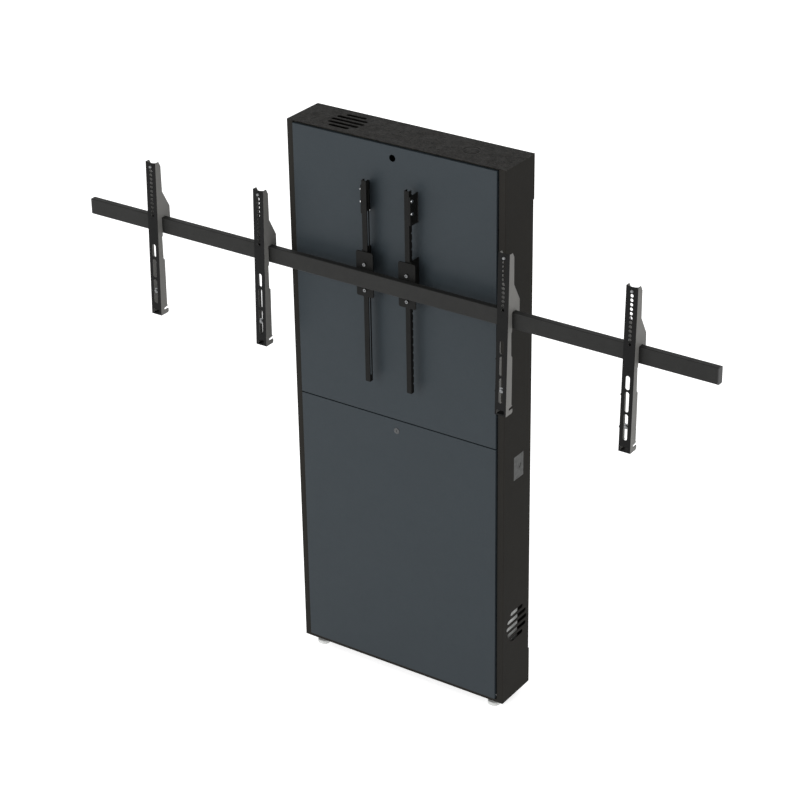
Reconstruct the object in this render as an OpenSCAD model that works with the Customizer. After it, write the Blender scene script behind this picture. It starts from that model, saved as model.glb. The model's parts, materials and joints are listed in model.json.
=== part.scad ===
// Floor-standing, wall-braced stand for two flat displays side by side.
// A slim sheet-metal cabinet carries two uprights, a long rail and four hook-on brackets.
// Sizes are millimetres. Inside the modules x = 0 and y = 0 are the middle of the cabinet
// and z = 0 is its underside; in_place() then sets everything on its feet.

/* [Cabinet] */
// Width of the cabinet
cabinet_w = 742; // [700:1:900]
// Depth of the cabinet without the wall plates
cabinet_d = 150; // [145:1:200]
// Height of the cabinet without its feet
cabinet_h = 1750; // [1700:1:1950]
// Thickness of the folded body sheet
sheet_t = 2; // [1.5:0.1:2.5]
// Outside radius of the upright corners
corner_r = 2.5; // [2.3:0.1:8]
// Width of the border beside the covers
border_w = 21; // [20:0.5:30]
// Height of the border under the lower cover
bottom_border = 9.5; // [7:0.5:10]
// Width of the flanges along the back edges
back_flange_w = 25; // [20:1:40]
// Thickness of the back panel
back_t = 1.5; // [1:0.1:2]

/* [Covers] */
// Thickness of the cover sheet
cover_t = 1.5; // [1:0.1:2]
// Depth of the folded edge of a cover
cover_d = 12; // [11.5:0.5:15]
// How far the covers stand out in front of the border
cover_proud = 6; // [4:0.5:6]
// Gap around each cover
cover_gap = 4; // [3:0.5:5]
// Height of the lower cover's top edge
seam_z = 878; // [760:1:940]
// Distance from a cover's top edge to its lock or hole
lock_drop = 35; // [28:1:36]
// Diameter of the plain hole in the upper cover
cover_hole_d = 21; // [14:1:26]
// Height of the pins that carry the lower cover
cover_pin_z = 24; // [24:1:28]
// Diameter of the pins that carry the lower cover
cover_pin_d = 4; // [3.5:0.5:4.5]

/* [Vents] */
// Diameter of a round group of vent slots
vent_d = 114; // [80:1:120]
// Distance between vent slots
vent_pitch = 22.7; // [18:0.1:26]
// Width of a vent slot
vent_slot_w = 13.6; // [6:0.1:15]
// Centre of the top vent, left of the middle
top_vent_x = 208; // [150:1:260]
// Height of the side vent's centre
side_vent_z = 252; // [180:1:400]
// Side vent's centre, behind the cabinet's middle
side_vent_y = 4; // [0:0.5:6]

/* [Side hatch] */
// Width of the hatch in the right side
hatch_w = 53; // [44:1:60]
// Height of the hatch
hatch_h = 78; // [60:1:90]
// Height of the hatch's centre
hatch_z = 793; // [740:0.5:800]
// Hatch's centre, behind the cabinet's middle
hatch_y = 7; // [0:0.5:12]
// Diameter of the coin latch
latch_d = 18; // [14:0.5:20]
// Slant of the coin slot at rest
latch_slant = 50; // [0:5:90]

/* [Uprights and arms] */
// Distance from the cabinet's top to the rail's centre
rail_drop = 407; // [395:1:430]
// Middle of each upright, from the cabinet's middle
upright_x = 73; // [60:1:110]
// Width of an upright
upright_w = 16; // [16:1:24]
// Depth of an upright
upright_d = 14; // [14:1:24]
// Wall of an upright
upright_t = 2; // [1.5:0.1:2]
// Length of an upright
upright_l = 634; // [620:1:660]
// Distance from the rail's centre to an upright's foot
upright_fall = 338; // [325:1:345]
// Width of the slot in an upright's inner side
upright_slot_w = 7; // [6.6:0.1:7.5]
// Distance between the notches in an upright's outer edge
notch_pitch = 25; // [20:1:40]
// Radius of a notch
notch_r = 3.5; // [2.5:0.5:3.5]
// Thickness of the arm plates
arm_t = 4; // [2:0.5:4]
// Height of an arm plate
arm_h = 89; // [70:1:100]
// Height of the lower arms' centre above the rail's centre
lower_arm_rise = 37; // [0:1:45]
// Height of the upper arms' centre above the rail's centre
upper_arm_rise = 236; // [200:1:240]
// Width of a post inside the cabinet
post_w = 40; // [30:1:50]
// Depth of a post inside the cabinet
post_d = 30; // [24:1:40]

/* [Rail] */
// Length of the rail with its end caps
rail_l = 2160; // [2120:1:2500]
// Height of the rail
rail_h = 50; // [40:1:60]
// Depth of the rail
rail_d = 21; // [18:1:30]
// Wall of the rail
rail_t = 2.5; // [2:0.1:3]
// Outside radius of the rail's long edges
rail_r = 3; // [2.6:0.1:4]
// Distance from the cabinet's front to the rail's front
rail_reach = 70; // [60:0.5:90]
// Width of a rail clamp
clamp_w = 58; // [56:1:80]
// Height of a rail clamp
clamp_h = 140; // [134:1:160]
// Height of a rail clamp's centre above the rail's centre
clamp_rise = 8; // [0:1:12]
// Thickness of a rail clamp
clamp_t = 4; // [3:0.5:6]

/* [Display brackets] */
// Distance between the two brackets of a display
bracket_spacing = 400; // [200:50:400]
// Middle of each display, from the cabinet's middle
display_x = 620; // [560:5:650]
// Width of a bracket
bracket_w = 37; // [31:1:45]
// Sheet thickness of a bracket
bracket_t = 2; // [1.5:0.1:3]
// Bracket's top above the rail's centre
bracket_rise = 205; // [190:1:230]
// Bracket's bottom under the rail's centre
bracket_fall = 289; // [285:1:320]
// Depth of the flanges where they pass the rail's front
bracket_d = 20.9; // [20:0.1:24]
// Lean of a bracket's front: its foot stands further forward than its top
bracket_lean = 1.9; // [0:0.1:2.5]
// Diameter of the display screw holes
display_hole_d = 9.6; // [6.5:0.1:10]
// Distance between the display screw holes
display_hole_pitch = 12.9; // [11:0.1:13.3]
// Distance from a bracket's top to its first hole
display_hole_inset = 15; // [14:0.5:24]

/* [Feet and wall plates] */
// Height of the cabinet above the floor
foot_h = 30; // [26:0.5:40]
// Diameter of a levelling foot
foot_d = 40; // [35:1:41]
// Diameter of a foot's threaded stem
stem_d = 10; // [8:0.5:12]
// Thickness of a levelling foot's disc
foot_disc_t = 12; // [8:0.5:14]
// Distance from the cabinet's sides to the feet
foot_side_inset = 49; // [44:1:50]
// Distance from the cabinet's front and back to the feet
foot_inset = 31; // [28:1:40]
// Height of the plinth
plinth_h = 23; // [15:0.5:24]
// Distance from the cabinet's front to the plinth
plinth_setback = 29; // [10:1:40]
// Thickness of the wall plates
wall_plate_t = 3; // [3:0.5:8]
// Height of the lower wall plate
lower_wall_plate_h = 121; // [90:1:140]
// Height of the upper wall plate
upper_wall_plate_h = 137; // [90:1:160]
// Distance between the wall screws
wall_screw_span = 406.4; // [400:0.1:500]
// Diameter of the wall screw holes
wall_hole_d = 9; // [7:0.5:12]

/* [Hidden] */
$fn = 48;
// clearances
slide_gap = 0.3;
seat_gap = 0.3;
screw_gap = 0.2;
past = 1;
// cabinet planes
half_w = cabinet_w / 2;
half_d = cabinet_d / 2;
front_y = -half_d;
inner_w = half_w - sheet_t;
inner_front_y = front_y + sheet_t;
inner_back_y = half_d - sheet_t;
under_top_z = cabinet_h - sheet_t;
border_x = half_w - border_w;
back_panel_y = inner_back_y - back_t;
back_y = half_d + wall_plate_t;
fold_gap = 0.1;
// covers
cover_front_y = front_y - cover_proud;
cover_back_y = cover_front_y + cover_d;
cover_x = border_x - cover_gap;
lower_cover_z = bottom_border + cover_gap;
upper_cover_z = seam_z + cover_gap;
upper_cover_top = under_top_z - cover_gap;
lip_y = cover_back_y + seat_gap;
lip_w = 12;
lip_x = border_x - lip_w;
cover_pin_wall = 1.1;
cover_pin_y = cover_back_y - cover_pin_wall - cover_pin_d / 2 - slide_gap;
// the strap behind the seam of the covers
mid_rail_z = seam_z - 20;
mid_rail_h = 43;
mid_rail_y = lip_y + sheet_t;
mid_rail_tab = 25;
hook_x = 200;
hook_w = 30;
hook_t = 3;
hook_drop = 12;
// lock of the lower cover
lock_z = seam_z - lock_drop;
lock_face_d = 19;
lock_body_d = 16;
lock_plug_d = 12;
lock_plug_gap = 0.1;
lock_face_t = 1.2;
lock_back_y = mid_rail_y + sheet_t - slide_gap;
cam_y = mid_rail_y + sheet_t + slide_gap;
cam_w = 12;
cam_l = 28;
cam_t = 2;
rail_z = cabinet_h - rail_drop;
// posts, arms and uprights: their outer faces share one plane for the arm plates
upright_out_x = upright_x + upright_w / 2;
upright_in_x = upright_x - upright_w / 2;
rail_front_y = front_y - rail_reach;
rail_back_y = rail_front_y + rail_d;
upright_front_y = rail_back_y + clamp_t;
upright_back_y = upright_front_y + upright_d;
upright_z = rail_z - upright_fall;
post_t = 2.5;
post_back_y = back_panel_y;
post_front_y = post_back_y - post_d;
arm_front_y = upright_front_y + seat_gap;
arm_back_y = post_back_y - 5;
arm_z = [rail_z + lower_arm_rise, rail_z + upper_arm_rise];
arm_cut_gap = 1.5;
arm_screw_d = 5;
arm_screw_head_d = 10;
arm_screw_head_h = 3;
arm_screw_span = 38;
arm_screw_y = upright_front_y + upright_d - 6.5;
arm_screw_lift = 11;
post_screw_y = post_front_y + post_d / 2;
// clamp and rail fasteners
bolt_d = 6;
bolt_head_d = 10;
bolt_head_h = 4;
clamp_bolt_z = [-rail_h / 2 - 17, rail_h / 2 + 14];
rail_bolt_x = 23;
clamp_bolt_y = upright_front_y + upright_d / 2;
cheek_back_y = clamp_bolt_y + bolt_head_d / 2;
cheek_x = upright_in_x - slide_gap;
nut_bar_x = upright_in_x + upright_t + slide_gap;
nut_bar_w = 8;
nut_bar_t = 5;
nut_bar_h = clamp_bolt_z[1] - clamp_bolt_z[0] + 14;
cap_t = 3;
cap_plug_l = 12;
// display brackets
bracket_x = [
    -display_x - bracket_spacing / 2,
    -display_x + bracket_spacing / 2,
    display_x - bracket_spacing / 2,
    display_x + bracket_spacing / 2
];
bracket_front_y = rail_front_y - slide_gap - bracket_d;
bracket_foot_step = 0.6;
bracket_foot_y = bracket_front_y - (bracket_fall - bracket_foot_step) * sin(bracket_lean);
hook_in_d = rail_d + bracket_d + 2 * slide_gap;
hook_out_d = hook_in_d + 17.5;
hook_end = 14;
hook_top = rail_h / 2 + slide_gap;
bracket_holes = 13;
display_slot_w = 13;
display_slots = [[-100, -58], [-167, -106], [-252, -173]];
bracket_pins = [-121, -219];
// feet
foot_x = half_w - foot_side_inset;
foot_y = half_d - foot_inset;
stem_gap = 0.2;
stem_top = lower_cover_z - 2;
insert_d = stem_d + 3;
insert_h = lower_cover_z - 3;
insert_flange_d = insert_d + 7;
insert_flange_t = 3;
plinth_inset = 70;
plinth_sheet = 2;
// inside the cabinet
plate_t = 2;
plate_x = half_w - 21;
plate_z = 100;
plate_h = 460;
plate_flange_y = -26;
lacing_pitch = 60;
lacing_w = 6;
lacing_l = 26;
entry_x = 210;
entry_w = 180;
entry_h = 120;
entry_drop = 253;
entry_z = [682, cabinet_h - entry_drop];
edging_t = 2;
edging_lap = 4;
wall_hole_z = [lower_wall_plate_h / 2, cabinet_h - upper_wall_plate_h / 2];
access_d = 24;
small_screw_d = 5;
small_head_d = 9;
small_head_h = 2.4;
back_screw_inset = 250;
back_screw_rows = 5;
flange_screw_x = half_w - back_flange_w / 2 - 1;

// the model's origin is the middle of its footprint on the floor
place_y = -(bracket_foot_y + back_y) / 2;

charcoal = [0.17, 0.17, 0.16];
slate = [0.24, 0.27, 0.29];
zinc = [0.72, 0.73, 0.74];
steel = [0.8, 0.8, 0.82];
black = [0.06, 0.06, 0.06];

// Helpers

module in_place() {
    translate([0, place_y, foot_h]) children();
}

// A rectangle with four round corners, centred
module round_rect(w, d, r) {
    square([w - 2 * r, d], center = true);
    square([w, d - 2 * r], center = true);
    for (x = [-1, 1], y = [-1, 1])
        translate([x * (w / 2 - r), y * (d / 2 - r)]) circle(r);
}

// A slot with round ends, centred, along x
module obround(l, w) {
    square([l - w, w], center = true);
    for (x = [-1, 1])
        translate([x * (l - w) / 2, 0]) circle(w / 2);
}

// Extrudes a drawing of the x-z plane along y, from y0 to y1
module along_y(y0, y1) {
    translate([0, y1, 0]) rotate([90, 0, 0]) linear_extrude(y1 - y0) children();
}

// Extrudes a drawing of the y-z plane along x, from x0 to x1
module along_x(x0, x1) {
    translate([x0, 0, 0]) rotate([90, 0, 90]) linear_extrude(x1 - x0) children();
}

// A box given by its two corners
module box(low, high) {
    translate(low) cube(high - low);
}

// A round bar along x, from x0 to x1
module bar_x(d, x0, x1) {
    translate([x0, 0, 0]) rotate([0, 90, 0]) cylinder(d = d, h = x1 - x0);
}

// A round bar along y, from y0 to y1
module bar_y(d, y0, y1) {
    translate([0, y1, 0]) rotate([90, 0, 0]) cylinder(d = d, h = y1 - y0);
}

// Parallel slots whose lengths follow a circle
module vent_slots() {
    rows = floor((vent_d / 2 - vent_slot_w / 2) / vent_pitch);
    for (i = [-rows : rows])
        translate([0, i * vent_pitch])
            obround(2 * sqrt(pow(vent_d / 2, 2) - pow(i * vent_pitch, 2)), vent_slot_w);
}

// Keeps what lies inside the folded corners
module inside_corners(gap) {
    intersection() {
        children();
        translate([0, 0, -past]) linear_extrude(cabinet_h + 2 * past)
            round_rect(cabinet_w - 2 * (sheet_t + gap), cabinet_d - 2 * sheet_t, corner_r - sheet_t);
    }
}

// Cabinet body

// Plan of the right side: web, border with its return and lip, back flange
module side_plan() {
    intersection() {
        difference() {
            round_rect(cabinet_w, cabinet_d, corner_r);
            round_rect(cabinet_w - 2 * sheet_t, cabinet_d - 2 * sheet_t, corner_r - sheet_t);
        }
        union() {
            translate([border_x, -cabinet_d]) square([cabinet_w, cabinet_d]);
            translate([half_w - back_flange_w, 0]) square([cabinet_w, cabinet_d]);
        }
    }
    translate([border_x, inner_front_y]) square([sheet_t, lip_y - inner_front_y]);
}

module side_lip() {
    translate([lip_x, lip_y]) square([lip_w + sheet_t, sheet_t]);
}

// The lip stops short of the floor so that the lower cover's corner can swing
module side_panel() {
    linear_extrude(under_top_z) side_plan();
    translate([0, 0, cover_pin_z + 10])
        linear_extrude(under_top_z - cover_pin_z - 10) side_lip();
}

module flange_screw_holes(zs) {
    for (z = zs)
        translate([flange_screw_x, 0, z])
            bar_y(small_screw_d + 2 * screw_gap, inner_back_y - past, half_d + past);
}

back_screw_z = [
    for (i = [0 : back_screw_rows - 1])
        back_screw_inset + i * (cabinet_h - 2 * back_screw_inset) / (back_screw_rows - 1)
];
wall_plate_screw_z = [
    lower_wall_plate_h * 0.2, lower_wall_plate_h * 0.8,
    cabinet_h - upper_wall_plate_h * 0.8, cabinet_h - upper_wall_plate_h * 0.2
];

module left_side_panel() {
    color(charcoal) in_place() mirror([1, 0, 0]) difference() {
        side_panel();
        flange_screw_holes(back_screw_z);
        flange_screw_holes(wall_plate_screw_z);
    }
}

module right_side_panel() {
    color(charcoal) in_place() difference() {
        side_panel();
        flange_screw_holes(back_screw_z);
        flange_screw_holes(wall_plate_screw_z);
        translate([0, side_vent_y, side_vent_z])
            along_x(inner_w - past, half_w + past) vent_slots();
        translate([0, hatch_y, hatch_z])
            along_x(inner_w - past, half_w + past) square([hatch_w, hatch_h], center = true);
    }
}

module top_panel() {
    rear_flange_h = 20;
    lip_h = 22;
    color(charcoal) in_place() difference() {
        union() {
            translate([0, 0, under_top_z])
                linear_extrude(sheet_t) round_rect(cabinet_w, cabinet_d, corner_r);
            box([-lip_x, lip_y, under_top_z - lip_h], [lip_x, lip_y + sheet_t, under_top_z]);
            inside_corners(fold_gap)
                box([-inner_w, back_panel_y - sheet_t, under_top_z - rear_flange_h],
                    [inner_w, back_panel_y, under_top_z]);
        }
        translate([-top_vent_x, 0, under_top_z - past])
            linear_extrude(sheet_t + 2 * past) vent_slots();
        for (s = [-1, 1])
            box([s * (upright_out_x - post_w / 2) - post_w / 2 - fold_gap,
                 post_front_y, under_top_z - rear_flange_h - past],
                [s * (upright_out_x - post_w / 2) + post_w / 2 + fold_gap,
                 post_back_y + past, under_top_z]);
    }
}

module base_pan() {
    rear_flange_h = 20;
    color(charcoal) in_place() difference() {
        union() {
            inside_corners(fold_gap)
                box([-inner_w, inner_front_y, 0], [inner_w, back_panel_y, sheet_t]);
            box([-border_x + fold_gap, front_y, 0],
                [border_x - fold_gap, inner_front_y, bottom_border]);
            inside_corners(fold_gap)
                box([-inner_w, back_panel_y - sheet_t, 0], [inner_w, back_panel_y, rear_flange_h]);
        }
        for (s = [-1, 1]) {
            translate([s * border_x, inner_front_y - past, -past])
                linear_extrude(sheet_t + 2 * past)
                    translate([-sheet_t - fold_gap, 0])
                        square([2 * (sheet_t + fold_gap), lip_y - inner_front_y + past + fold_gap]);
            box([s * (upright_out_x - post_w / 2) - post_w / 2 - fold_gap,
                 post_front_y, sheet_t],
                [s * (upright_out_x - post_w / 2) + post_w / 2 + fold_gap,
                 post_back_y + past, rear_flange_h + past]);
        }
        foot_places() translate([0, 0, -past]) cylinder(d = insert_d + 1, h = sheet_t + 2 * past);
    }
}

// Back of the cabinet

module entry_places() {
    for (s = [-1, 1], z = entry_z)
        translate([s * entry_x, 0, z]) children();
}

module back_panel() {
    color(charcoal) in_place() difference() {
        inside_corners(fold_gap)
            box([-inner_w, back_panel_y, fold_gap], [inner_w, inner_back_y, under_top_z - fold_gap]);
        entry_places()
            along_y(back_panel_y - past, inner_back_y + past)
                square([entry_w, entry_h], center = true);
        for (s = [-1, 1], z = wall_hole_z)
            translate([s * wall_screw_span / 2, 0, z])
                bar_y(access_d, back_panel_y - past, inner_back_y + past);
        for (s = [-1, 1], z = concat(back_screw_z, wall_plate_screw_z))
            translate([s * flange_screw_x, 0, z])
                bar_y(small_screw_d + 2 * screw_gap, back_panel_y - past, inner_back_y + past);
    }
}

module cable_entry_edging() {
    color(black) in_place() entry_places() difference() {
        along_y(back_panel_y - edging_t - fold_gap, inner_back_y + fold_gap + 1)
            square([entry_w + 2 * edging_lap, entry_h + 2 * edging_lap], center = true);
        along_y(back_panel_y - 10, inner_back_y + 10)
            square([entry_w - 2 * edging_t, entry_h - 2 * edging_t], center = true);
        along_y(back_panel_y - fold_gap, inner_back_y + fold_gap) difference() {
            square([entry_w + 4 * edging_lap, entry_h + 4 * edging_lap], center = true);
            square([entry_w - 2 * fold_gap, entry_h - 2 * fold_gap], center = true);
        }
    }
}

module wall_plate(z, h, hole_z, screw_zs) {
    color(charcoal) in_place() difference() {
        box([-half_w, half_d, z], [half_w, back_y, z + h]);
        for (s = [-1, 1])
            translate([s * wall_screw_span / 2, 0, hole_z])
                bar_y(wall_hole_d, half_d - past, back_y + past);
        for (s = [-1, 1], zz = screw_zs)
            translate([s * flange_screw_x, 0, zz]) {
                bar_y(small_screw_d + 2 * screw_gap, half_d - past, back_y + past);
                bar_y(small_head_d + 2 * screw_gap, back_y - small_head_h, back_y + past);
            }
    }
}

module lower_wall_plate() {
    wall_plate(0, lower_wall_plate_h, wall_hole_z[0],
        [wall_plate_screw_z[0], wall_plate_screw_z[1]]);
}

module upper_wall_plate() {
    wall_plate(cabinet_h - upper_wall_plate_h, upper_wall_plate_h, wall_hole_z[1],
        [wall_plate_screw_z[2], wall_plate_screw_z[3]]);
}

// Screws that enter the back flanges from behind, with their heads at head_y
module flange_screws(zs, head_y) {
    for (s = [-1, 1], z = zs)
        translate([s * flange_screw_x, 0, z]) {
            bar_y(small_head_d, head_y, head_y + small_head_h);
            bar_y(small_screw_d, back_panel_y - 4, head_y + small_head_h / 2);
        }
}

module wall_plate_screws() {
    color(steel) in_place() flange_screws(wall_plate_screw_z, back_y - small_head_h);
}

module back_panel_screws() {
    color(steel) in_place() flange_screws(back_screw_z, half_d);
}

// Plinth and levelling feet

module foot_places() {
    for (x = [-1, 1], y = [-1, 1])
        translate([x * foot_x, y * foot_y, 0]) children();
}

// A shallow folded channel, open underneath, between the feet
module plinth_plate() {
    plinth_x = half_w - plinth_inset;
    low = [-plinth_x, front_y + plinth_setback, -plinth_h];
    high = [plinth_x, half_d - plinth_setback, 0];
    wall = [plinth_sheet, plinth_sheet, plinth_sheet];
    color(zinc) in_place() difference() {
        box(low, high);
        box([low[0] + plinth_sheet, low[1] + plinth_sheet, low[2] - past], high - wall);
    }
}

// Threaded inserts whose flange bears on the base pan from below
module foot_inserts() {
    color(steel) in_place() foot_places() difference() {
        union() {
            translate([0, 0, -insert_flange_t]) cylinder(d = insert_flange_d, h = insert_flange_t);
            translate([0, 0, -insert_flange_t]) cylinder(d = insert_d, h = insert_h + insert_flange_t);
        }
        translate([0, 0, -insert_flange_t - past])
            cylinder(d = stem_d + 2 * stem_gap, h = insert_h + insert_flange_t + 2 * past);
    }
}

module levelling_foot(sx, sy) {
    rim = 2;
    color(zinc) in_place() translate([sx * foot_x, sy * foot_y, -foot_h]) {
        rotate_extrude() polygon([
            [0, 0], [foot_d / 2 - 1, 0], [foot_d / 2, 1], [foot_d / 2, foot_disc_t - rim],
            [foot_d / 2 - rim, foot_disc_t], [0, foot_disc_t]
        ]);
        cylinder(d = stem_d, h = foot_h + stem_top);
    }
}

module front_left_foot() { levelling_foot(-1, -1); }
module front_right_foot() { levelling_foot(1, -1); }
module back_left_foot() { levelling_foot(-1, 1); }
module back_right_foot() { levelling_foot(1, 1); }

// Covers

// A tray of sheet, open at the back
module cover_tray(z0, z1) {
    difference() {
        box([-cover_x, cover_front_y, z0], [cover_x, cover_back_y, z1]);
        box([-cover_x + cover_t, cover_front_y + cover_t, z0 + cover_t],
            [cover_x - cover_t, cover_back_y + past, z1 - cover_t]);
    }
}

// Hooks that drop behind the mid rail
module cover_hooks() {
    hook_z = mid_rail_z + mid_rail_h + seat_gap;
    hook_y = mid_rail_y + sheet_t + slide_gap;
    for (s = [-1, 1]) {
        box([s * hook_x - hook_w / 2, cover_front_y + cover_t / 2, hook_z],
            [s * hook_x + hook_w / 2, hook_y + hook_t, hook_z + hook_t]);
        box([s * hook_x - hook_w / 2, hook_y, hook_z - hook_drop],
            [s * hook_x + hook_w / 2, hook_y + hook_t, hook_z + hook_t]);
    }
}

module upper_cover() {
    color(slate) in_place() difference() {
        union() {
            cover_tray(upper_cover_z, upper_cover_top);
            cover_hooks();
        }
        translate([0, 0, upper_cover_top - lock_drop])
            bar_y(cover_hole_d, cover_front_y - past, cover_front_y + cover_t + past);
        for (s = [-1, 1], z = arm_z)
            translate([s * (upright_out_x + arm_t / 2), 0, z])
                along_y(cover_front_y - past, cover_front_y + cover_t + past)
                    square([arm_t + 2 * arm_cut_gap, arm_h + 2 * arm_cut_gap], center = true);
    }
}

module lower_cover() {
    slot_w = cover_pin_d + 2 * slide_gap;
    color(slate) in_place() difference() {
        cover_tray(lower_cover_z, seam_z);
        translate([0, 0, lock_z])
            bar_y(lock_body_d + 2 * screw_gap, cover_front_y - past, cover_front_y + cover_t + past);
        translate([0, cover_pin_y, cover_pin_z]) {
            bar_x(slot_w, -cover_x - past, -cover_x + cover_t + past);
            bar_x(slot_w, cover_x - cover_t - past, cover_x + past);
            for (x = [-cover_x - past, cover_x - cover_t - past])
                translate([x, -slot_w / 2, lower_cover_z - cover_pin_z - past])
                    cube([cover_t + 2 * past, slot_w, cover_pin_z - lower_cover_z + past]);
        }
    }
}

// Pins on the border returns; the lower cover hooks over them and tips on them
module cover_pins() {
    color(steel) in_place() translate([0, cover_pin_y, cover_pin_z])
        for (s = [-1, 1])
            bar_x(cover_pin_d, s > 0 ? lip_x : -border_x, s > 0 ? border_x : -lip_x);
}

module cover_magnets() {
    magnet_x = 150;
    magnet_w = 40;
    magnet_h = 12;
    top_drop = cover_t + 3;
    back_of = [lip_y, mid_rail_y];
    top_of = [upper_cover_top, seam_z];
    color(black) in_place() for (s = [-1, 1], i = [0, 1])
        box([s * magnet_x - magnet_w / 2, cover_front_y + cover_t + seat_gap,
             top_of[i] - top_drop - magnet_h],
            [s * magnet_x + magnet_w / 2, back_of[i], top_of[i] - top_drop]);
}

// A strap across the cabinet behind the seam, its ends folded back along the sides
module mid_rail() {
    color(charcoal) in_place() {
        box([-inner_w + fold_gap, mid_rail_y, mid_rail_z],
            [inner_w - fold_gap, mid_rail_y + sheet_t, mid_rail_z + mid_rail_h]);
        for (s = [-1, 1])
            box([s * (inner_w - fold_gap - sheet_t / 2) - sheet_t / 2, mid_rail_y, mid_rail_z],
                [s * (inner_w - fold_gap - sheet_t / 2) + sheet_t / 2,
                 mid_rail_y + mid_rail_tab, mid_rail_z + mid_rail_h]);
    }
}

// Lock of the lower cover, drawn open with its cam lying level

module lock_barrel() {
    color(zinc) in_place() translate([0, 0, lock_z]) difference() {
        union() {
            bar_y(lock_face_d, cover_front_y - lock_face_t, cover_front_y);
            bar_y(lock_body_d, cover_front_y - lock_face_t / 2, lock_back_y);
        }
        bar_y(lock_plug_d + 2 * lock_plug_gap, cover_front_y - 10, lock_back_y + past);
    }
}

module lock_nut() {
    nut_d = 22;
    nut_t = 4;
    nut_y = cover_front_y + cover_t;
    color(zinc) in_place() translate([0, 0, lock_z]) difference() {
        translate([0, nut_y + nut_t, 0]) rotate([90, 0, 0]) cylinder(d = nut_d, h = nut_t, $fn = 6);
        bar_y(lock_body_d + 2 * screw_gap, nut_y - past, nut_y + nut_t + past);
    }
}

module lock_plug() {
    tail = 6;
    key_w = 1.8;
    key_h = 7;
    color(steel) in_place() translate([0, 0, lock_z]) difference() {
        union() {
            bar_y(lock_plug_d, cover_front_y - lock_face_t, lock_back_y);
            box([-tail / 2, lock_back_y - past, -tail / 2], [tail / 2, cam_y + cam_t + 2, tail / 2]);
        }
        box([-key_w / 2, cover_front_y - lock_face_t - past, -key_h / 2],
            [key_w / 2, cover_front_y + 4, key_h / 2]);
    }
}

module lock_cam() {
    tail_hole = 6 + 2 * screw_gap;
    color(steel) in_place() translate([0, 0, lock_z]) along_y(cam_y, cam_y + cam_t) difference() {
        union() {
            circle(d = cam_w);
            translate([0, -cam_w / 2]) square([cam_l - cam_w / 2, cam_w]);
            translate([cam_l - cam_w / 2, 0]) circle(d = cam_w);
        }
        square(tail_hole, center = true);
    }
}

// Frame inside the cabinet

// A channel open to the back, its outer face on the arm plane
module post(s) {
    mid_x = upright_out_x - post_w / 2;
    hole_x0 = upright_out_x - post_t - past;
    color(charcoal) in_place() scale_side(s) difference() {
        box([mid_x - post_w / 2, post_front_y, sheet_t], [mid_x + post_w / 2, post_back_y, under_top_z]);
        box([mid_x - post_w / 2 + post_t, post_front_y + post_t, sheet_t - past],
            [mid_x + post_w / 2 - post_t, post_back_y + past, under_top_z + past]);
        for (i = [0, 1], d = [-1, 1])
            translate([0, post_screw_y, arm_z[i] + arm_screw_lift + d * arm_screw_span / 2])
                bar_x(arm_screw_d + 2 * screw_gap, hole_x0, upright_out_x + past);
    }
}

// Leaves a right-hand shape as it is for s = 1 and mirrors it for s = -1
module scale_side(s) {
    if (s > 0) children();
    else mirror([1, 0, 0]) children();
}

module left_post() { post(-1); }
module right_post() { post(1); }

// A slotted plate on the posts, its ends folded forward along the sides
module equipment_plate() {
    cols = floor((2 * plate_x - lacing_l - 2 * plate_t) / lacing_pitch / 2);
    rows = floor((plate_h - 40) / lacing_pitch);
    color(zinc) in_place() {
        along_y(post_front_y - plate_t, post_front_y) difference() {
            translate([-plate_x, plate_z]) square([2 * plate_x, plate_h]);
            for (i = [-cols : cols], j = [0 : rows])
                translate([i * lacing_pitch, plate_z + (plate_h - rows * lacing_pitch) / 2 + j * lacing_pitch])
                    obround(lacing_l, lacing_w);
        }
        for (x = [-plate_x, plate_x - plate_t])
            box([x, plate_flange_y, plate_z], [x + plate_t, post_front_y, plate_z + plate_h]);
    }
}

// An arm plate lies against the outer faces of a post and an upright
module arm(s, i) {
    corner = 4;
    z = arm_z[i];
    mid_y = (arm_front_y + arm_back_y) / 2;
    x0 = upright_out_x;
    color(charcoal) in_place() scale_side(s) difference() {
        translate([0, mid_y, z])
            along_x(x0, x0 + arm_t) round_rect(arm_back_y - arm_front_y, arm_h, corner);
        for (y = [arm_screw_y, post_screw_y], d = [-1, 1])
            translate([0, y, z + arm_screw_lift + d * arm_screw_span / 2])
                bar_x(arm_screw_d + 2 * screw_gap, x0 - past, x0 + arm_t + past);
    }
}

module left_lower_arm() { arm(-1, 0); }
module left_upper_arm() { arm(-1, 1); }
module right_lower_arm() { arm(1, 0); }
module right_upper_arm() { arm(1, 1); }

module arm_screws(y, wall) {
    x0 = upright_out_x - wall;
    head_x = upright_out_x + arm_t;
    for (s = [-1, 1], i = [0, 1], d = [-1, 1])
        scale_side(s) translate([0, y, arm_z[i] + arm_screw_lift + d * arm_screw_span / 2]) {
            bar_x(arm_screw_d, x0 - 1, head_x + arm_screw_head_h / 2);
            bar_x(arm_screw_head_d, head_x, head_x + arm_screw_head_h);
        }
}

module arm_post_screws() {
    color(steel) in_place() arm_screws(post_screw_y, post_t);
}

module arm_upright_screws() {
    color(steel) in_place() arm_screws(arm_screw_y, upright_t);
}

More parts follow.
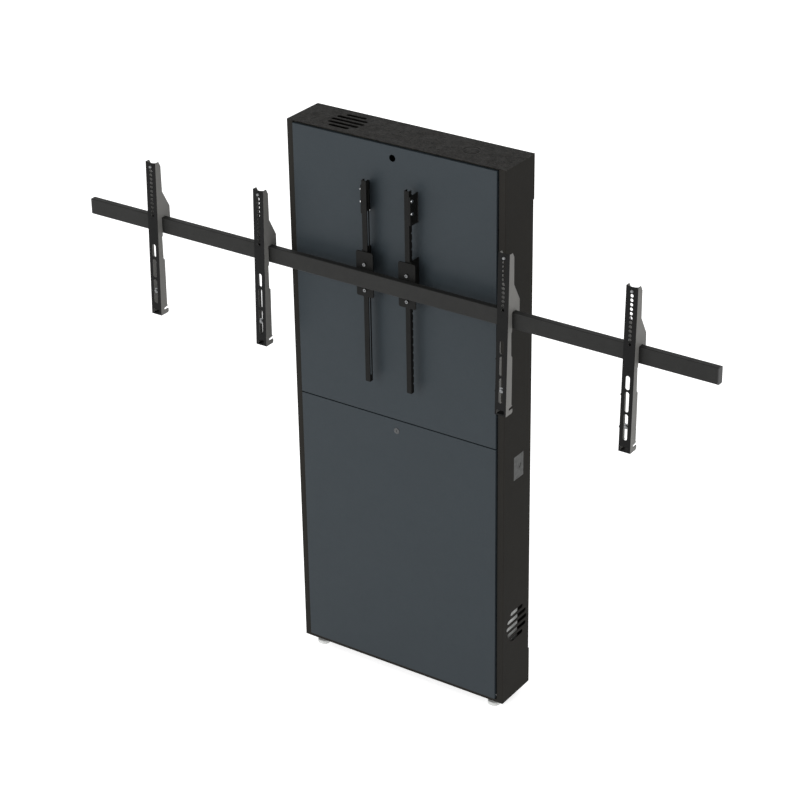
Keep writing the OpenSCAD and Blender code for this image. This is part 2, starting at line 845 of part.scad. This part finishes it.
// A channel open to the back, slotted down its inner side, with a notched outer edge
module upright(s) {
    notches = floor((upright_l - 20) / notch_pitch);
    slot_end = 20;
    color(charcoal) in_place() scale_side(s) difference() {
        box([upright_x - upright_w / 2, upright_front_y, upright_z],
            [upright_x + upright_w / 2, upright_back_y, upright_z + upright_l]);
        box([upright_x - upright_w / 2 + upright_t, upright_front_y + upright_t, upright_z - past],
            [upright_x + upright_w / 2 - upright_t, upright_back_y + past, upright_z + upright_l + past]);
        translate([0, clamp_bolt_y, upright_z + upright_l / 2])
            along_x(upright_in_x - past, upright_in_x + upright_t + past)
                rotate(90) obround(upright_l - 2 * slot_end, upright_slot_w);
        for (i = [0 : notches - 1])
            translate([0, upright_back_y, upright_z + upright_l / 2 + (i - (notches - 1) / 2) * notch_pitch])
                bar_x(2 * notch_r, upright_x, upright_out_x + past);
        for (i = [0, 1], d = [-1, 1])
            translate([0, arm_screw_y, arm_z[i] + arm_screw_lift + d * arm_screw_span / 2])
                bar_x(arm_screw_d + 2 * screw_gap, upright_out_x - upright_t - past, upright_out_x + past);
    }
}

module left_upright() { upright(-1); }
module right_upright() { upright(1); }

// Side hatch, rebated so that it fills the cut-out flush from inside

module side_hatch() {
    rebate = 3;
    hatch_gap = 0.3;
    color(zinc) in_place() translate([0, hatch_y, hatch_z]) difference() {
        union() {
            along_x(inner_w - hatch_rim_t, inner_w)
                square([hatch_w + 2 * rebate, hatch_h + 2 * rebate], center = true);
            along_x(inner_w - 1, half_w)
                square([hatch_w - 2 * hatch_gap, hatch_h - 2 * hatch_gap], center = true);
        }
        translate([0, latch_y, 0])
            bar_x(latch_d + 2 * screw_gap, inner_w - 5, half_w + past);
    }
}

latch_y = hatch_w * 0.16;
hatch_rim_t = 1.5;
latch_shaft_d = 8;
latch_wing_t = 2;
latch_wing_x = inner_w - hatch_rim_t - slide_gap - latch_wing_t;

// A coin-turned disc whose wing reaches behind the side wall
module hatch_latch() {
    wing_l = hatch_w / 2 - latch_y + 10;
    wing_w = 10;
    slot_l = latch_d - 3;
    slot_w = 3.5;
    color(steel) in_place() translate([0, hatch_y + latch_y, hatch_z]) difference() {
        union() {
            bar_x(latch_d, inner_w - hatch_rim_t, half_w);
            bar_x(latch_shaft_d, latch_wing_x, inner_w);
            along_x(latch_wing_x, latch_wing_x + latch_wing_t) {
                circle(d = wing_w);
                translate([0, -wing_w / 2]) square([wing_l, wing_w]);
            }
        }
        along_x(half_w - 1.2, half_w + past)
            rotate(latch_slant) square([slot_l, slot_w], center = true);
    }
}

// Rail and its clamps

module rail_section(d, h, r) {
    translate([(rail_front_y + rail_back_y) / 2, rail_z]) round_rect(d, h, r);
}

module rail_tube() {
    tube_l = rail_l / 2 - cap_t;
    color(charcoal) in_place() difference() {
        along_x(-tube_l, tube_l) rail_section(rail_d, rail_h, rail_r);
        along_x(-tube_l - past, tube_l + past)
            rail_section(rail_d - 2 * rail_t, rail_h - 2 * rail_t, max(rail_r - rail_t, 0.9));
        for (s = [-1, 1])
            scale_side(s) rail_bolt_places()
                bar_y(bolt_d + 2 * screw_gap, rail_back_y - rail_t - past, rail_back_y + past);
    }
}

module rail_cap(s) {
    tube_l = rail_l / 2 - cap_t;
    plug_gap = 0.2;
    color(black) in_place() scale_side(s) {
        along_x(tube_l, rail_l / 2) rail_section(rail_d, rail_h, rail_r);
        along_x(tube_l - cap_plug_l, tube_l) difference() {
            rail_section(rail_d - 2 * (rail_t + plug_gap), rail_h - 2 * (rail_t + plug_gap), 1);
            rail_section(rail_d - 2 * (rail_t + plug_gap) - 3, rail_h - 2 * (rail_t + plug_gap) - 3, 0.5);
        }
    }
}

module left_rail_cap() { rail_cap(-1); }
module right_rail_cap() { rail_cap(1); }

module clamp_bolt_places() {
    for (z = clamp_bolt_z)
        translate([0, clamp_bolt_y, rail_z + z]) children();
}

// Set bolts in the clamp's front bear on the upright's face and lock the rail's height
module set_bolt_places() {
    for (z = clamp_bolt_z)
        translate([upright_x, 0, rail_z + z]) children();
}

// Bolts on both sides of an upright hold the rail on its clamp from behind
module rail_bolt_places() {
    for (d = [-1, 1])
        translate([upright_x + d * rail_bolt_x, 0, rail_z]) children();
}

// A plate behind the rail with a cheek along the upright's inner side
module rail_clamp(s) {
    corner = 5;
    color(charcoal) in_place() scale_side(s) difference() {
        union() {
            translate([upright_x, 0, rail_z + clamp_rise])
                along_y(rail_back_y, upright_front_y - slide_gap) round_rect(clamp_w, clamp_h, corner);
            translate([0, 0, rail_z + (clamp_bolt_z[0] + clamp_bolt_z[1]) / 2])
                box([cheek_x - clamp_t, rail_back_y, -nut_bar_h / 2], [cheek_x, cheek_back_y, nut_bar_h / 2]);
        }
        clamp_bolt_places()
            bar_x(bolt_d + 2 * screw_gap, cheek_x - clamp_t - past, cheek_x + past);
        set_bolt_places()
            bar_y(bolt_d + 2 * screw_gap, rail_back_y - past, upright_front_y + past);
        rail_bolt_places()
            bar_y(bolt_d + 2 * screw_gap, rail_back_y - past, upright_front_y + past);
    }
}

module left_rail_clamp() { rail_clamp(-1); }
module right_rail_clamp() { rail_clamp(1); }

// A threaded bar that rides inside the upright and holds the clamp to its slotted side
module nut_bar(s) {
    mid_z = (clamp_bolt_z[0] + clamp_bolt_z[1]) / 2;
    color(zinc) in_place() scale_side(s) difference() {
        translate([0, clamp_bolt_y, rail_z + mid_z])
            along_x(nut_bar_x, nut_bar_x + nut_bar_t) square([nut_bar_w, nut_bar_h], center = true);
        clamp_bolt_places()
            bar_x(bolt_d + 2 * screw_gap, nut_bar_x - past, nut_bar_x + nut_bar_t + past);
    }
}

module left_nut_bar() { nut_bar(-1); }
module right_nut_bar() { nut_bar(1); }

// A bolt along y with its head in front of head_y
module bolt_y(head_y, tip_y) {
    socket_d = 5;
    difference() {
        union() {
            bar_y(bolt_head_d, head_y - bolt_head_h, head_y);
            bar_y(bolt_d, head_y - bolt_head_h / 2, tip_y);
        }
        translate([0, head_y - bolt_head_h + 2.5, 0]) rotate([90, 0, 0])
            cylinder(d = socket_d, h = 5, $fn = 6);
    }
}

module clamp_bolts() {
    color(steel) in_place() for (s = [-1, 1])
        scale_side(s) {
            clamp_bolt_places()
                rotate([0, 0, -90]) bolt_y(cheek_x - clamp_t, nut_bar_x + nut_bar_t);
            set_bolt_places() bolt_y(rail_back_y, upright_front_y);
        }
}

module rail_bolts() {
    grip = 6;
    color(steel) in_place() for (s = [-1, 1])
        scale_side(s) rail_bolt_places()
            mirror([0, 1, 0]) bolt_y(slide_gap - upright_front_y, -rail_back_y + rail_t + grip);
}

// Display brackets

// Side view of a bracket: depth from its front at the rail's height, height from the rail's centre
module bracket_flange() {
    pass_z = -rail_h / 2 - 8;
    lean = tan(bracket_lean);
    top_d = 30;
    waist = 17.5;
    toe = 23;
    toe_end = 20.5;
    heel = 26;
    notch_d = 6;
    shoulder_z = 107;
    hook_shoulder_z = 52;
    waist_end = -107;
    toe_z = -113;
    front = bracket_t / 2;
    top_step = 1;
    polygon([
        [bracket_rise * lean + front, bracket_rise - top_step], [top_d - 8, bracket_rise - top_step],
        [top_d, bracket_rise - 16],
        [top_d, shoulder_z], [hook_out_d, hook_shoulder_z], [hook_out_d, hook_end], [hook_in_d, hook_end],
        [hook_in_d, hook_top], [bracket_d, hook_top], [bracket_d, pass_z], [waist, pass_z - 4],
        [waist, waist_end], [toe, toe_z], [toe_end, 27 - bracket_fall], [toe_end + 4, 23 - bracket_fall],
        [notch_d, 20 - bracket_fall], [notch_d, 14 - bracket_fall], [heel - 1, 14 - bracket_fall],
        [heel, 9 - bracket_fall], [heel, 4 - bracket_fall], [heel - 3, -bracket_fall],
        [-bracket_fall * lean + front, -bracket_fall]
    ]);
}

module bracket_front_cuts() {
    crown_r = 60;
    crown_depth = 2.5;
    foot_cut = [24, 12];
    translate([0, bracket_rise + crown_r - crown_depth]) circle(crown_r);
    for (i = [0 : bracket_holes - 1])
        translate([0, bracket_rise - display_hole_inset - i * display_hole_pitch])
            circle(d = display_hole_d);
    for (z = display_slots)
        translate([0, (z[0] + z[1]) / 2]) rotate(90) obround(z[1] - z[0], display_slot_w);
    translate([-foot_cut[0] / 2, 5 - bracket_fall]) square(foot_cut);
}

// The front plate leans about the rail's height; the flanges join it to the upright hook
module bracket(x) {
    pin_d = 7;
    pin_l = 5;
    pin_depth = 9;
    foot_plate_d = 23;
    color(charcoal) in_place() translate([x, bracket_front_y, rail_z]) {
        rotate([-bracket_lean, 0, 0]) along_y(0, bracket_t) difference() {
            translate([-bracket_w / 2, bracket_foot_step - bracket_fall])
                square([bracket_w, bracket_rise + bracket_fall - bracket_foot_step]);
            bracket_front_cuts();
        }
        for (x0 = [-bracket_w / 2, bracket_w / 2 - bracket_t])
            along_x(x0, x0 + bracket_t) bracket_flange();
        box([-bracket_w / 2, -bracket_fall * tan(bracket_lean) + bracket_t / 2, -bracket_fall],
            [bracket_w / 2, foot_plate_d, -bracket_fall + bracket_t]);
        rotate([-bracket_lean, 0, 0]) for (z = bracket_pins)
            translate([0, pin_depth, z]) bar_x(pin_d, -bracket_w / 2 - pin_l, -bracket_w / 2 + bracket_t);
    }
}

module far_left_bracket() { bracket(bracket_x[0]); }
module near_left_bracket() { bracket(bracket_x[1]); }
module near_right_bracket() { bracket(bracket_x[2]); }
module far_right_bracket() { bracket(bracket_x[3]); }

left_side_panel();
right_side_panel();
top_panel();
base_pan();
plinth_plate();
back_panel();
lower_wall_plate();
upper_wall_plate();
wall_plate_screws();
back_panel_screws();
cable_entry_edging();
upper_cover();
cover_magnets();
mid_rail();
cover_pins();
left_post();
right_post();
equipment_plate();
left_lower_arm();
left_upper_arm();
right_lower_arm();
right_upper_arm();
arm_post_screws();
left_upright();
right_upright();
arm_upright_screws();
side_hatch();
hatch_latch();
foot_inserts();
front_left_foot();
front_right_foot();
back_left_foot();
back_right_foot();
lower_cover();
lock_barrel();
lock_nut();
lock_plug();
lock_cam();
rail_tube();
left_rail_cap();
right_rail_cap();
left_rail_clamp();
right_rail_clamp();
left_nut_bar();
right_nut_bar();
clamp_bolts();
rail_bolts();
far_left_bracket();
near_left_bracket();
near_right_bracket();
far_right_bracket();
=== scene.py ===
import json
import math

import bmesh
import bpy
from mathutils import Matrix, Vector


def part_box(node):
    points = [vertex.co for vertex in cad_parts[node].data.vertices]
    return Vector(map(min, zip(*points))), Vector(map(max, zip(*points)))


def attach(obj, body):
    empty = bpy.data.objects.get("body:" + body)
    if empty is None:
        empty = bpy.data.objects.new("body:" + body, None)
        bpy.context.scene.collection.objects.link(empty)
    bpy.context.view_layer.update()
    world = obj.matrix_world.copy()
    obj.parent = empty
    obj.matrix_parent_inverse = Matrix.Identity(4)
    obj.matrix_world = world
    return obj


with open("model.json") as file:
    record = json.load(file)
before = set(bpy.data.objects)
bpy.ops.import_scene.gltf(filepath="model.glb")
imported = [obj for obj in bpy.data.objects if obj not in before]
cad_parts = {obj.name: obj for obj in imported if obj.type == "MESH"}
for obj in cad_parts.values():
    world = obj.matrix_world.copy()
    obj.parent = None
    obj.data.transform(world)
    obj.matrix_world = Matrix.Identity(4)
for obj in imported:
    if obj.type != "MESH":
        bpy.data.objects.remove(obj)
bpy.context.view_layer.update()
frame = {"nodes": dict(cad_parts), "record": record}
RECORD = frame["record"]
MM = 0.001
WHITE = (1.0, 1.0, 1.0)


# Camera and stage

def photo_camera():
    """The camera that was fitted to the photograph's edges: lens and shift are in its pixels."""
    azimuth, elevation = math.radians(32.590), math.radians(27.347)
    place = (3.58905, -5.21261, 4.23337)
    picture, lens, shift = 800.0, 2404.688, -75.534
    back = Vector((math.sin(azimuth) * math.cos(elevation),
                   -math.cos(azimuth) * math.cos(elevation), math.sin(elevation)))
    right = Vector((math.cos(azimuth), math.sin(azimuth), 0.0))
    up = back.cross(right)
    axes = Matrix((right, up, back)).transposed().to_4x4()
    data = bpy.data.cameras.new("photo_camera")
    data.sensor_width = 36.0
    data.lens = lens / picture * data.sensor_width
    data.shift_x = shift / picture
    data.clip_end = 60.0
    cam = bpy.data.objects.new("photo_camera", data)
    cam.matrix_world = Matrix.Translation(place) @ axes
    bpy.context.scene.collection.objects.link(cam)
    bpy.context.scene.camera = cam


def area_light(name, place, target, size, power, tint):
    """A soft light that faces its target: lengths in metres, power in watts."""
    data = bpy.data.lights.new(name, "AREA")
    data.shape = "RECTANGLE"
    data.size, data.size_y = size
    data.energy = power
    data.color = tint
    lamp = bpy.data.objects.new(name, data)
    lamp.location = place
    lamp.rotation_euler = (Vector(target) - Vector(place)).to_track_quat("-Z", "Y").to_euler()
    bpy.context.scene.collection.objects.link(lamp)


def lights():
    """White light from all round, and three soft lights that model the faces."""
    world = bpy.data.worlds.new("studio")
    world.use_nodes = True
    sky = world.node_tree.nodes["Background"]
    sky.inputs["Color"].default_value = (*WHITE, 1.0)
    sky.inputs["Strength"].default_value = 0.85
    bpy.context.scene.world = world
    bpy.context.scene.view_settings.view_transform = "Standard"
    middle = (0.0, 0.0, 0.9)
    area_light("key", place=(-1.8, -5.6, 3.0), target=(0.0, 0.0, 1.0), size=(4.0, 3.4),
               power=190.0, tint=(0.98, 0.99, 1.0))
    area_light("side", place=(5.2, -0.6, 3.4), target=middle, size=(3.0, 3.0),
               power=10.0, tint=(1.0, 0.99, 0.97))
    area_light("back", place=(1.8, 5.6, 3.0), target=middle, size=(4.0, 3.0),
               power=28.0, tint=WHITE)


def ground():
    """A pale floor that glows a little, so that it hardly takes a shadow."""
    reach = 40.0
    corners = [(-reach, -reach, 0), (reach, -reach, 0), (reach, reach, 0), (-reach, reach, 0)]
    mesh = bpy.data.meshes.new("floor")
    mesh.from_pydata(corners, [], [(0, 1, 2, 3)])
    floor = bpy.data.objects.new("floor", mesh)
    bpy.context.scene.collection.objects.link(floor)
    mat = bpy.data.materials.new("floor_paint")
    mat.use_nodes = True
    sockets = mat.node_tree.nodes["Principled BSDF"].inputs
    sockets["Base Color"].default_value = (0.7, 0.7, 0.7, 1.0)
    sockets["Roughness"].default_value = 0.55
    sockets["Specular IOR Level"].default_value = 0.2
    sockets["Emission Color"].default_value = (*WHITE, 1.0)
    sockets["Emission Strength"].default_value = 0.68
    mesh.materials.append(mat)


# Material nodes

class Nodes:
    """A short way to build a material. Scales are per metre, widths and depths in metres."""

    def __init__(self, name):
        self.mat = bpy.data.materials.new(name)
        self.mat.use_nodes = True
        self.tree = self.mat.node_tree
        self.shader = self.tree.nodes["Principled BSDF"]
        where = self.add("ShaderNodeTexCoord")
        self.place = where.outputs["Object"]
        self.normal = where.outputs["Normal"]

    def add(self, kind, **values):
        node = self.tree.nodes.new(kind)
        for key, value in values.items():
            setattr(node, key, value)
        return node

    def put(self, value, socket):
        """Give a socket a number, a colour or another node's output."""
        if isinstance(value, (int, float)):
            socket.default_value = value
        elif isinstance(value, tuple):
            socket.default_value = (*value, 1.0)
        else:
            self.tree.links.new(value, socket)

    def noise(self, scale, detail=3.0, rough=0.55, stretch=None):
        node = self.add("ShaderNodeTexNoise")
        node.inputs["Scale"].default_value = scale
        node.inputs["Detail"].default_value = detail
        node.inputs["Roughness"].default_value = rough
        where = self.place
        if stretch:
            at = self.add("ShaderNodeMapping")
            at.inputs["Scale"].default_value = stretch
            self.put(self.place, at.inputs["Vector"])
            where = at.outputs["Vector"]
        self.put(where, node.inputs["Vector"])
        return node.outputs["Fac"]

    def cells(self, scale, output="Distance"):
        node = self.add("ShaderNodeTexVoronoi")
        node.inputs["Scale"].default_value = scale
        self.put(self.place, node.inputs["Vector"])
        return node.outputs[output]

    def fade(self, source, start, end, first=0.0, last=1.0):
        """A grey that is first below start, last above end, and runs evenly between them."""
        node = self.add("ShaderNodeValToRGB")
        for stop, at, grey in zip(node.color_ramp.elements, (start, end), (first, last)):
            stop.position = at
            stop.color = (grey, grey, grey, 1.0)
        self.put(source, node.inputs["Fac"])
        return node.outputs["Color"]

    def math(self, operation, a, b=0.0):
        node = self.add("ShaderNodeMath", operation=operation)
        self.put(a, node.inputs[0])
        self.put(b, node.inputs[1])
        return node.outputs["Value"]

    def mix(self, factor, a, b):
        """Colour a where factor is 0, and b where it is 1.

        The node's sockets go by number, because several share a name.
        """
        factor_in, a_in, b_in, colour_out = 0, 6, 7, 2
        node = self.add("ShaderNodeMix", data_type="RGBA")
        self.put(factor, node.inputs[factor_in])
        self.put(a, node.inputs[a_in])
        self.put(b, node.inputs[b_in])
        return node.outputs[colour_out]

    def bevel(self, radius):
        """The normal of a surface whose edges are rounded to the radius."""
        node = self.add("ShaderNodeBevel", samples=4)
        node.inputs["Radius"].default_value = radius
        return node.outputs["Normal"]

    def edges(self, radius):
        """Near 1 on convex and concave edges, 0 on flat stretches."""
        flat = self.add("ShaderNodeNewGeometry").outputs["True Normal"]
        alike = self.add("ShaderNodeVectorMath", operation="DOT_PRODUCT")
        self.put(self.bevel(radius), alike.inputs[0])
        self.put(flat, alike.inputs[1])
        return self.fade(alike.outputs["Value"], 0.80, 0.995, first=1.0, last=0.0)

    def facing_sideways(self):
        """1 on faces that look along x, 0 on those that look along y or z."""
        parts = self.add("ShaderNodeSeparateXYZ")
        self.put(self.normal, parts.inputs[0])
        return self.math("MULTIPLY", parts.outputs["X"], parts.outputs["X"])

    def circle(self, x, y, radius, width):
        """1 on the line of a circle that is seen from above, 0 from the width away on."""
        level = self.add("ShaderNodeVectorMath", operation="MULTIPLY")
        self.put(self.place, level.inputs[0])
        level.inputs[1].default_value = (1.0, 1.0, 0.0)
        away = self.add("ShaderNodeVectorMath", operation="DISTANCE")
        self.put(level.outputs["Vector"], away.inputs[0])
        away.inputs[1].default_value = (x, y, 0.0)
        off_line = self.math("ABSOLUTE", self.math("SUBTRACT", away.outputs["Value"], radius))
        return self.fade(off_line, 0.0, width, first=1.0, last=0.0)

    def finish(self, colour, rough, relief, depth, strength, soft_r):
        """Set the shader: the relief's edges look rounded to soft_r. Returns the material."""
        node = self.add("ShaderNodeBump")
        node.inputs["Strength"].default_value = strength
        node.inputs["Distance"].default_value = depth
        self.put(relief, node.inputs["Height"])
        self.put(self.bevel(soft_r), node.inputs["Normal"])
        self.put(node.outputs["Normal"], self.shader.inputs["Normal"])
        self.put(colour, self.shader.inputs["Base Color"])
        self.put(rough, self.shader.inputs["Roughness"])
        return self.mat


def srgb(*levels):
    """Linear colour from screen levels above 10, of 255."""
    return tuple(((level / 255 + 0.055) / 1.055) ** 2.4 for level in levels)


def times(colour, k):
    return tuple(v * k for v in colour)


# Kinds of material

def powder_coat(name, colour, grain=900.0, depth=0.00012, mottling=0.2, rough=0.5, patchy=0.07,
                edge_highlight=0.25, speck=0.3, gloss=0.14, coarse=False, side=0.0, ring=None):
    """Fine-textured powder coat: pebbled relief, faint mottling, and edges lightened a little by a
    painted highlight.

    speck is the strength of its light specks, gloss that of its shine, and patchy how much its
    roughness varies. coarse adds a wrinkled grain that shows from afar, with painted highlights on
    its crests and painted shade in its dips. side is the strength of a painted reflection that
    lightens faces that look sideways, and ring presses a faint circle into the sheet, given as
    (x, y, radius).
    Values that end in _k multiply the colour, in _h the relief.
    """
    speck_k, crest_highlight_k, dip_shade_k, edge_highlight_k = 1.7, 2.6, 0.25, 3.2
    pebble_h, fleck_h, wrinkle_h, ring_h = 0.7, 0.8, 2.5, 5.0
    edge_highlight_r, ring_w = 0.0009, 0.0035
    # Pale grey of the painted reflection on faces that look sideways.
    painted_sheen_colour = srgb(132, 131, 128)
    n = Nodes(name)
    pebble = n.cells(grain)
    cloud = n.noise(9.0, detail=4.0)
    fleck = n.noise(260.0, detail=2.0, rough=0.7)
    base = n.mix(n.fade(cloud, 0.35, 0.7), times(colour, 1 - mottling * 0.5),
                 times(colour, 1 + mottling * 0.5))
    base = n.mix(n.fade(fleck, 0.45, 0.68, last=speck), base, times(colour, speck_k))
    relief = n.math("ADD", n.math("MULTIPLY", pebble, pebble_h), n.math("MULTIPLY", fleck, fleck_h))
    if coarse:
        wrinkle = n.noise(110.0, detail=4.0, rough=0.75)
        # Painted light and shade: the wrinkle's crests are lightened and its dips darkened.
        base = n.mix(n.fade(wrinkle, 0.40, 0.62), base, times(colour, crest_highlight_k))
        base = n.mix(n.fade(wrinkle, 0.36, 0.50, first=1.0, last=0.0), base, times(colour, dip_shade_k))
        relief = n.math("ADD", relief, n.math("MULTIPLY", wrinkle, wrinkle_h))
    if side:
        # Painted reflection: faces that look along x are lightened towards that pale grey.
        base = n.mix(n.math("MULTIPLY", n.facing_sideways(), side), base, painted_sheen_colour)
    if ring:
        groove = n.math("MULTIPLY", n.circle(*ring, ring_w), ring_h)
        relief = n.math("SUBTRACT", relief, groove)
    # Painted highlight: convex and concave edges are lightened.
    base = n.mix(n.math("MULTIPLY", n.edges(edge_highlight_r), edge_highlight), base, times(colour, edge_highlight_k))
    uneven = n.fade(n.noise(38.0), 0.3, 0.7, first=rough - patchy, last=rough + patchy)
    n.shader.inputs["Specular IOR Level"].default_value = gloss
    return n.finish(base, uneven, relief, depth, strength=0.8, soft_r=0.0007)


def zinc(name, colour, metal=0.75):
    """Zinc-plated sheet with a faint spangle, rolling marks, and edges brightened by a painted
    highlight.
    """
    spangle_k, streak_k, edge_k = 0.86, 0.72, 1.2
    edge_r, edge_highlight_amount = 0.0008, 0.3
    n = Nodes(name)
    spangle = n.add("ShaderNodeRGBToBW")
    n.put(n.cells(110.0, output="Color"), spangle.inputs["Color"])
    grey = spangle.outputs["Val"]
    streak = n.noise(70.0, rough=0.6, stretch=(1.0, 1.0, 9.0))
    base = n.mix(n.fade(grey, 0.2, 0.8), times(colour, spangle_k), colour)
    base = n.mix(n.fade(streak, 0.4, 0.75, last=0.4), base, times(colour, streak_k))
    # Painted highlight: convex and concave edges are brightened.
    base = n.mix(n.math("MULTIPLY", n.edges(edge_r), edge_highlight_amount), base, times(colour, edge_k))
    uneven = n.fade(grey, 0.2, 0.8, first=0.36, last=0.52)
    n.shader.inputs["Metallic"].default_value = metal
    return n.finish(base, uneven, streak, depth=0.00006, strength=0.5, soft_r=0.0005)


def bright_steel(name, colour):
    """Plated steel: finely uneven roughness and darker smudges."""
    smudge_k = 0.78
    n = Nodes(name)
    fine = n.noise(1500.0, detail=2.0)
    smudge = n.noise(120.0)
    base = n.mix(n.fade(smudge, 0.4, 0.7), colour, times(colour, smudge_k))
    uneven = n.fade(fine, 0.3, 0.7, first=0.22, last=0.36)
    n.shader.inputs["Metallic"].default_value = 1.0
    return n.finish(base, uneven, fine, depth=0.00002, strength=0.5, soft_r=0.0004)


def plastic(name, colour):
    """Moulded plastic with a fine sparkle, and edges made paler by a painted highlight."""
    cloud_k, edge_k = 1.35, 2.2
    edge_r, edge_highlight_amount = 0.0008, 0.3
    n = Nodes(name)
    spark = n.noise(1100.0)
    cloud = n.noise(30.0, detail=2.0)
    base = n.mix(n.fade(cloud, 0.4, 0.7), colour, times(colour, cloud_k))
    # Painted highlight: convex and concave edges are made paler.
    base = n.mix(n.math("MULTIPLY", n.edges(edge_r), edge_highlight_amount), base, times(colour, edge_k))
    uneven = n.fade(spark, 0.35, 0.7, first=0.47, last=0.63)
    return n.finish(base, uneven, spark, depth=0.00004, strength=0.6, soft_r=0.0005)


# Materials of the stand

def top_coat():
    """The top's wrinkled coat, with painted light and shade on its wrinkle, and the faint round
    knock-out near its right end.
    """
    low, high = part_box("top_panel")
    ring_x, ring_r = 0.213, 0.024
    ring = (ring_x, (low[1] + high[1]) / 2, ring_r)
    return powder_coat("coarse_charcoal_coat", srgb(19, 18, 16), grain=420.0, depth=0.0006,
                       mottling=0.12, rough=0.55, speck=0.8, gloss=0.08, coarse=True, ring=ring)


def slot_materials():
    """One material for each of the record's material slots."""
    return {
        "powder_coat": powder_coat("charcoal_powder_coat", srgb(37, 36, 34), depth=0.00004,
                                   mottling=0.05, speck=0.12, gloss=0.01, patchy=0.02),
        "cover_paint": powder_coat("slate_cover_paint", srgb(41, 47, 51), grain=1300.0,
                                   depth=0.00004, mottling=0.04, rough=0.42, edge_highlight=0.12, speck=0.08),
        "zinc_plate": zinc("zinc_plated_sheet", srgb(205, 206, 204), metal=0.3),
        "bright_steel": bright_steel("plated_steel", srgb(214, 215, 216)),
        "black_plastic": plastic("black_moulding", srgb(24, 24, 24)),
        "screw_steel": bright_steel("dull_plated_steel", srgb(118, 119, 120)),
    }


def node_materials(slots):
    """Materials of the nodes that differ from their slot's."""
    hatch = zinc("dull_zinc_sheet", srgb(61, 62, 61))
    lock = bright_steel("dark_plated_lock", srgb(80, 81, 82))
    # The brackets' sideways faces get a painted reflection, set by side.
    bracket = powder_coat("bracket_coat", srgb(15, 15, 15), mottling=0.15, rough=0.45, gloss=0.08,
                          side=0.62)
    frame_coat = powder_coat("black_powder_coat", srgb(17, 17, 16), gloss=0.08)
    special = {
        "top_panel": top_coat(),
        "rail_tube": powder_coat("rail_powder_coat", srgb(28, 28, 27)),
        # A darker copy of the zinc: painted shade for the plinth under the cabinet.
        "plinth_plate": zinc("plinth_zinc_painted_shade", srgb(88, 89, 88), metal=0.2),
        "clamp_bolts": slots["screw_steel"],
        "side_hatch": hatch,
        "hatch_latch": hatch,
        "lock_barrel": lock,
        "lock_plug": lock,
    }
    for part in RECORD["subparts"]:
        name = part["node"]
        coated = part["material_slot"] == "powder_coat"
        if name.endswith("_bracket"):
            special[name] = bracket
        elif coated and any(word in name for word in ("upright", "_arm", "clamp")):
            special[name] = frame_coat
    return special


def dress(slots):
    """Give every node of the frame its material."""
    special = node_materials(slots)
    for part in RECORD["subparts"]:
        mat = special.get(part["node"], slots[part["material_slot"]])
        mesh = frame["nodes"][part["node"]].data
        if not mesh.materials:
            mesh.materials.append(mat)
        for i in range(len(mesh.materials)):
            mesh.materials[i] = mat


# Small fasteners

def lathe(name, profile, material, sides=32):
    """A turned piece about its own +Z: profile is a list of (radius, height) in millimetres."""
    bm = bmesh.new()
    rings = []
    for radius, height in profile:
        if radius == 0.0:
            rings.append([bm.verts.new((0.0, 0.0, height * MM))])
            continue
        rings.append([bm.verts.new((radius * MM * math.cos(2 * math.pi * i / sides),
                                    radius * MM * math.sin(2 * math.pi * i / sides),
                                    height * MM)) for i in range(sides)])
    for low, high in zip(rings, rings[1:]):
        for i in range(sides):
            j = (i + 1) % sides
            corners = (low[i % len(low)], low[j % len(low)],
                       high[j % len(high)], high[i % len(high)])
            bm.faces.new(list(dict.fromkeys(corners)))
    bmesh.ops.recalc_face_normals(bm, faces=bm.faces)
    mesh = bpy.data.meshes.new(name)
    bm.to_mesh(mesh)
    bm.free()
    mesh.materials.append(material)
    piece = bpy.data.objects.new(name, mesh)
    bpy.context.scene.collection.objects.link(piece)
    return piece


def screw_profile(plate, proud):
    """Outline of a screw in millimetres, as radius and height from the plate's front.

    A domed head with a socket and a washer lie behind the plate, and the threaded end stands
    proud in front of it.
    """
    shank, root, pitch = 4.0, 3.45, 1.25
    chamfer = 0.5
    thread_start = -0.2
    washer, washer_t = 8.5, 1.6
    head, head_h, socket, socket_d = 7.0, 4.4, 2.9, 2.6
    back = -plate - washer_t
    crown = back - head_h
    outline = [(0.0, crown + socket_d), (socket, crown + socket_d), (socket, crown),
               (head * 0.62, crown), (head * 0.9, back - head_h * 0.62),
               (head, back - head_h * 0.2), (head, back),
               (washer, back), (washer, -plate), (shank, -plate), (shank, thread_start)]
    z = 0.0
    while z + pitch < proud:
        outline += [(root, z + pitch * 0.35), (shank, z + pitch * 0.85)]
        z += pitch
    outline += [(shank - chamfer, proud), (0.0, proud)]
    return outline


def display_screws(material):
    """Two screws in each bracket, 400 mm apart along its front, as the photograph shows.

    A mount in the record names the middle of a pair of brackets at their upper screws. plate is
    the bracket's thickness, and proud how far each row's screws stand out, in millimetres.
    """
    plate = 2.0
    rows = {"upper": 4.0, "lower": 1.8}
    left, right = ("far_left_slider", "near_left_slider"), ("near_right_slider", "far_right_slider")
    for mount in RECORD["mounts"]:
        if not mount["name"].endswith("_display_bolts"):
            continue
        axis = Vector(mount["axis"]).normalized()
        along = Vector((1.0, 0.0, 0.0)).cross(axis).normalized()
        along = along if along.z > 0 else -along
        spacing = mount["dims"]["spacing_x_mm"] * MM
        middle = Vector(mount["pos_m"])
        turn = axis.to_track_quat("Z", "Y").to_matrix().to_4x4()
        for end, body in zip((-1, 1), right if middle.x > 0 else left):
            for row, proud in rows.items():
                place = middle + Vector((end * spacing / 2, 0.0, 0.0))
                if row == "lower":
                    place -= along * spacing
                name = body.replace("slider", row) + "_screw"
                piece = lathe(name, screw_profile(plate, proud), material)
                piece.matrix_world = Matrix.Translation(place) @ turn
                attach(piece, body)


photo_camera()
lights()
ground()
SLOTS = slot_materials()
dress(SLOTS)
display_screws(SLOTS["screw_steel"])
